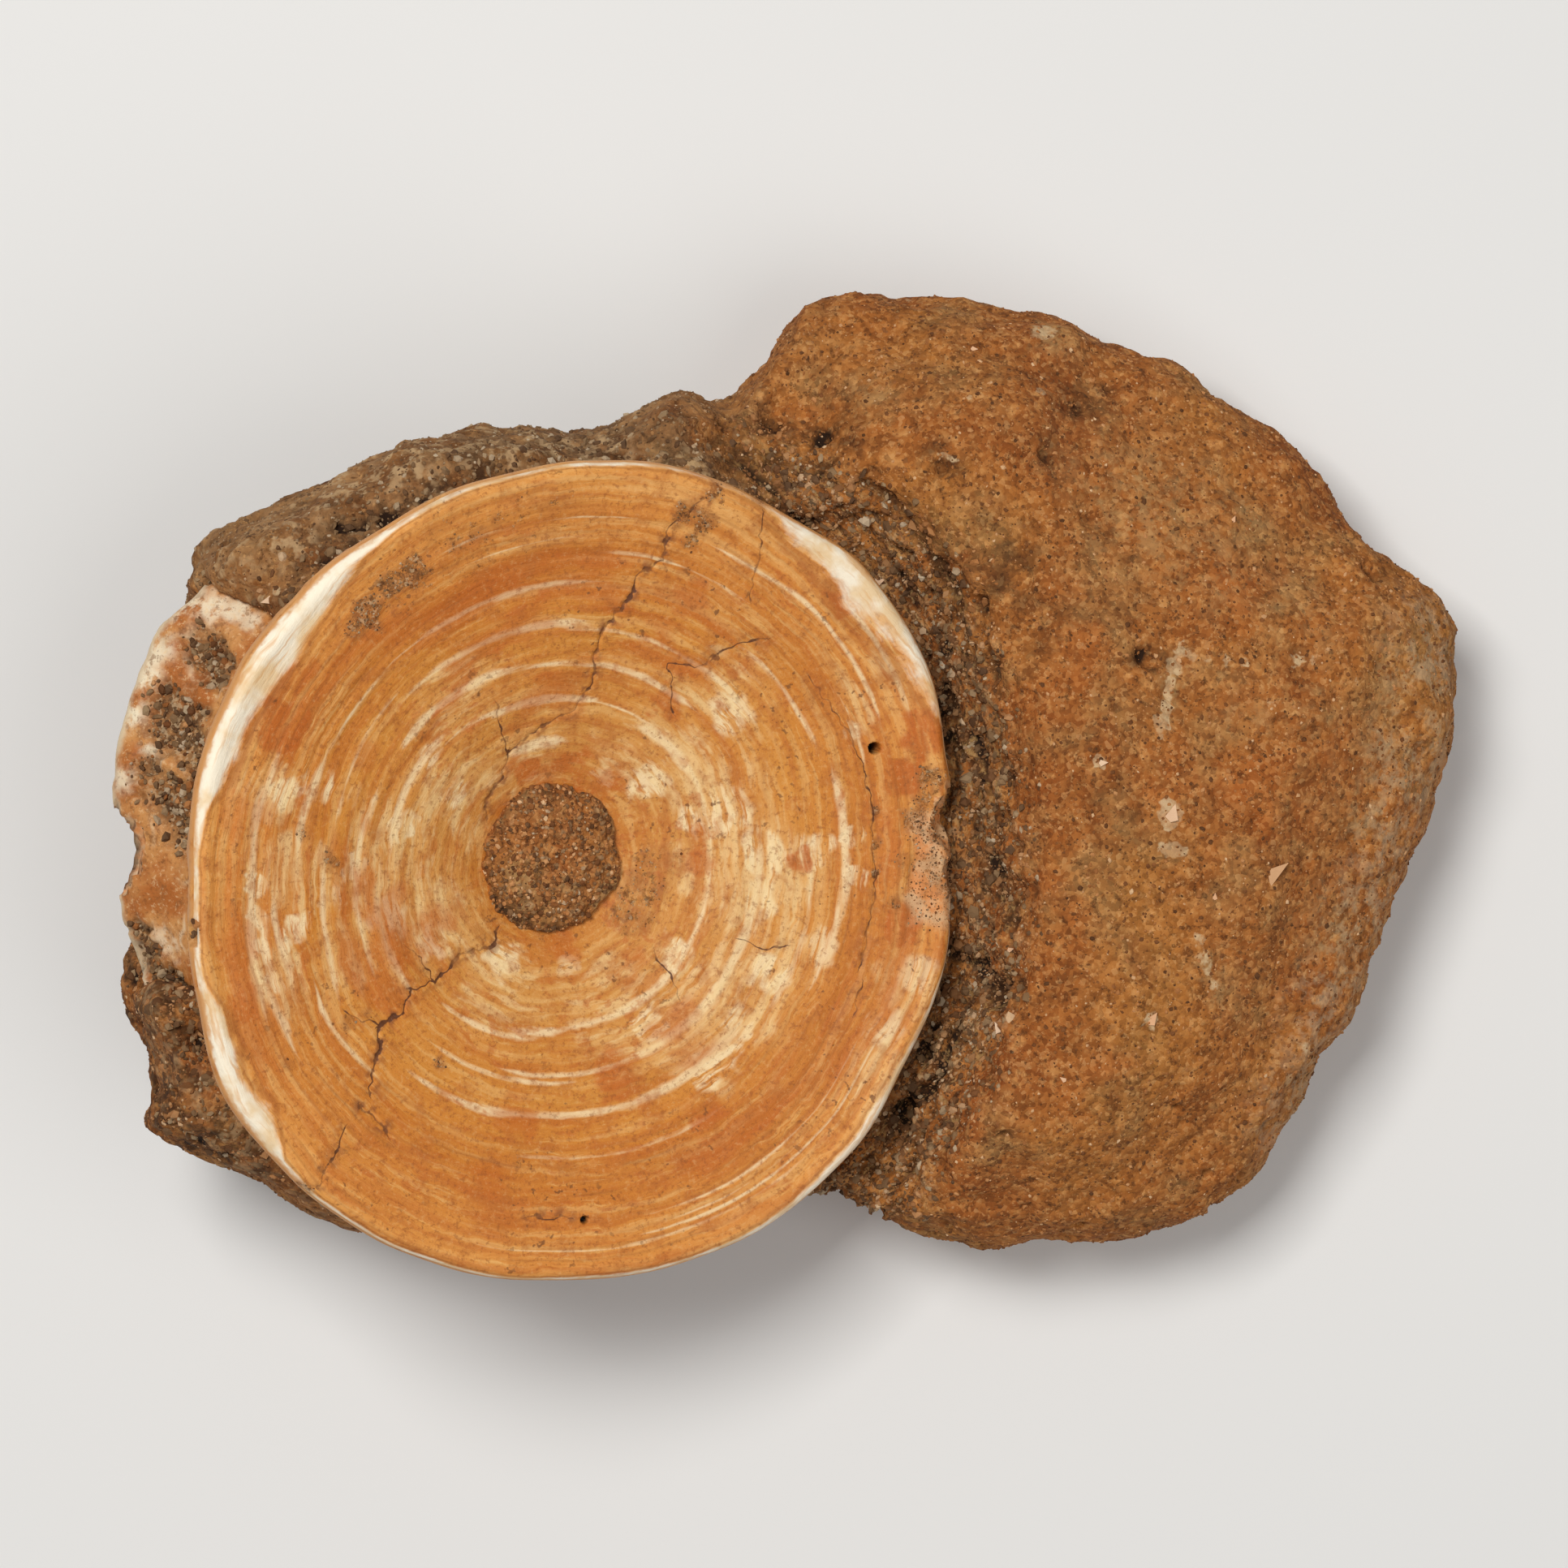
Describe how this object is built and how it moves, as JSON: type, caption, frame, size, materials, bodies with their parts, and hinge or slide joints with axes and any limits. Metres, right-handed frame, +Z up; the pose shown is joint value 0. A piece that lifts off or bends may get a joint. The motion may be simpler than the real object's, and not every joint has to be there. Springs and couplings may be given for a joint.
{
  "type": "fossil shark vertebra in matrix",
  "caption": "Round fossil shark vertebra with a hollow ringed face, half bedded in a lump of sandy stone.",
  "frame": {"origin": "bottom centre of the bounding box, in the flat underside that the stone rests on", "axes": "+X from the vertebra towards the bare block of stone, the longest way; +Z up; the vertebra's face looks up and leans towards +X"},
  "size_m": [0.1286, 0.0941, 0.0563],
  "materials": {
    "bone": "smooth amber and ivory fossil bone, slightly waxy",
    "sediment": "loose gritty brown sediment, matt",
    "stone": "rough orange-brown sandy stone, matt"
  },
  "bodies": {
    "root": {"vertebra": "bone", "sediment_plug": "sediment", "stone": "stone"}
  },
  "joints": []
}
